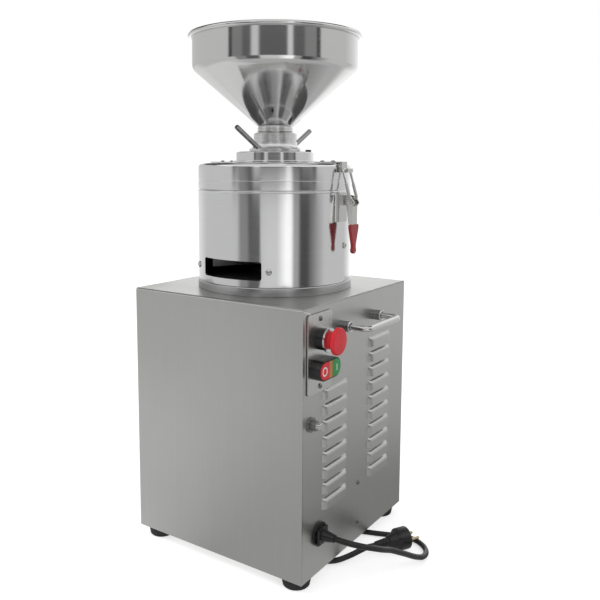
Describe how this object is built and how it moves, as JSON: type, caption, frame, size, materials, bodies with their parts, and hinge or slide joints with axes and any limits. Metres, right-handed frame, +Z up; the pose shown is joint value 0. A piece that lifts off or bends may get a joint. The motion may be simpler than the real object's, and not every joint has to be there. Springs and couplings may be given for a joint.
{
  "type": "colloid mill",
  "caption": "Bench-top colloid mill with a louvred steel cabinet, a latched grinding drum, a gap adjuster with lever rods and a polished hopper.",
  "frame": {"origin": "bottom centre of the cabinet's feet", "axes": "+Z up, +X to the control side, discharge slot to the front at -Y"},
  "size_m": [0.5107, 0.34, 0.8691],
  "materials": {
    "cabinet_steel": "brushed",
    "turned_aluminium": "turned",
    "polished_steel": "polished",
    "latch_steel": "satin",
    "dark_metal": "satin",
    "inner_steel": "machined",
    "grinding_stone": "ground",
    "motor_paint": "satin",
    "black_rubber": "matt",
    "black_plastic": "fine grain",
    "red_plastic": "gloss",
    "amber_lens": "translucent",
    "green_plastic": "gloss",
    "grip_plastic": "satin",
    "pin_brass": "nickel plated"
  },
  "bodies": {
    "mill": {"cabinet_wrap": "cabinet_steel", "right_side_panel": "cabinet_steel", "left_side_panel": "cabinet_steel", "base_plate": "cabinet_steel", "mounting_plate": "inner_steel", "rubber_feet": "black_rubber", "foot_screws": "inner_steel", "right_handle": "polished_steel", "left_handle": "polished_steel", "handle_ferrules": "dark_metal", "panel_screws": "dark_metal", "control_gasket": "black_rubber", "control_plate": "cabinet_steel", "estop_body": "black_plastic", "estop_ring": "polished_steel", "twin_switch_body": "black_plastic", "pilot_lens": "amber_lens", "reset_bezel": "dark_metal", "cable_gland": "black_plastic", "power_cord": "black_rubber", "plug_body": "black_plastic", "plug_pins": "pin_brass", "motor_housing": "motor_paint", "motor_end_shields": "motor_paint", "motor_bearings": "inner_steel", "fan_cowl": "motor_paint", "run_capacitor": "motor_paint", "base_ring": "turned_aluminium", "drum": "turned_aluminium", "shaft_seal": "black_rubber", "head_screws": "dark_metal", "lid": "turned_aluminium", "lid_gasket": "black_rubber", "adjuster_flange": "turned_aluminium", "flange_screws": "dark_metal", "latch_keepers": "latch_steel", "latch_bases": "latch_steel"},
    "spindle": {"motor_shaft": "inner_steel", "motor_core": "inner_steel", "cooling_fan": "black_plastic", "sweeper": "inner_steel", "rotor_disc": "grinding_stone", "rotor_nut": "inner_steel"},
    "adjuster": {"adjusting_ring": "turned_aluminium", "adjusting_rods": "latch_steel"},
    "stator": {"stator_sleeve": "inner_steel", "stator_disc": "grinding_stone"},
    "hopper_bowl": {"hopper": "polished_steel"},
    "locking_ring": {"lock_ring": "turned_aluminium"},
    "estop_head": {"estop_mushroom": "red_plastic"},
    "stop_key": {"stop_button": "red_plastic"},
    "start_key": {"start_button": "green_plastic"},
    "reset_key": {"reset_button": "latch_steel"},
    "right_latch": {"right_lever": "latch_steel", "right_grip": "grip_plastic"},
    "left_latch": {"left_lever": "latch_steel", "left_grip": "grip_plastic"},
    "right_wire": {"right_bail": "latch_steel"},
    "left_wire": {"left_bail": "latch_steel"}
  },
  "joints": [
    {"name": "spindle_turn", "type": "hinge", "parent": "mill", "child": "spindle", "pos_m": [0, 0, 0.45], "axis": [0, 0, 1], "continuous": true},
    {"name": "adjuster_turn", "type": "hinge", "parent": "mill", "child": "adjuster", "pos_m": [0, 0, 0.682], "axis": [0, 0, 1], "range_deg": [-90, 90]},
    {"name": "stator_lift", "type": "slide", "parent": "mill", "child": "stator", "axis": [0, 0, 1], "range_m": [-0.0005, 0.0005]},
    {"name": "hopper_lift", "type": "slide", "parent": "stator", "child": "hopper_bowl", "axis": [0, 0, 1], "range_m": [0, 0.08]},
    {"name": "lock_turn", "type": "hinge", "parent": "mill", "child": "locking_ring", "pos_m": [0, 0, 0.698], "axis": [0, 0, 1], "range_deg": [-90, 90]},
    {"name": "estop_press", "type": "slide", "parent": "mill", "child": "estop_head", "axis": [-1, 0, 0], "range_m": [0, 0.005]},
    {"name": "stop_press", "type": "slide", "parent": "mill", "child": "stop_key", "axis": [-1, 0, 0], "range_m": [0, 0.003], "stiffness_N_per_m": 300},
    {"name": "start_press", "type": "slide", "parent": "mill", "child": "start_key", "axis": [-1, 0, 0], "range_m": [0, 0.003], "stiffness_N_per_m": 300},
    {"name": "reset_press", "type": "slide", "parent": "mill", "child": "reset_key", "axis": [-1, 0, 0], "range_m": [0, 0.003], "stiffness_N_per_m": 300},
    {"name": "right_latch_open", "type": "hinge", "parent": "mill", "child": "right_latch", "pos_m": [0.15, 0, 0.598], "axis": [0, -1, 0], "range_deg": [0, 100]},
    {"name": "right_bail_swing", "type": "hinge", "parent": "right_latch", "child": "right_wire", "pos_m": [0.15766, 0, 0.59157], "axis": [0, -1, 0], "range_deg": [-110, 5]},
    {"name": "left_latch_open", "type": "hinge", "parent": "mill", "child": "left_latch", "pos_m": [-0.15, 0, 0.598], "axis": [0, 1, 0], "range_deg": [0, 100]},
    {"name": "left_bail_swing", "type": "hinge", "parent": "left_latch", "child": "left_wire", "pos_m": [-0.15766, 0, 0.59157], "axis": [0, 1, 0], "range_deg": [-110, 5]}
  ],
  "couplings": [
    {"joint": "adjuster_turn", "follows": "stator_lift", "rad_per_m": 3144.7},
    {"joint": "right_bail_swing", "follows": "right_latch_open", "ratio": -1.05},
    {"joint": "left_bail_swing", "follows": "left_latch_open", "ratio": -1.05}
  ]
}
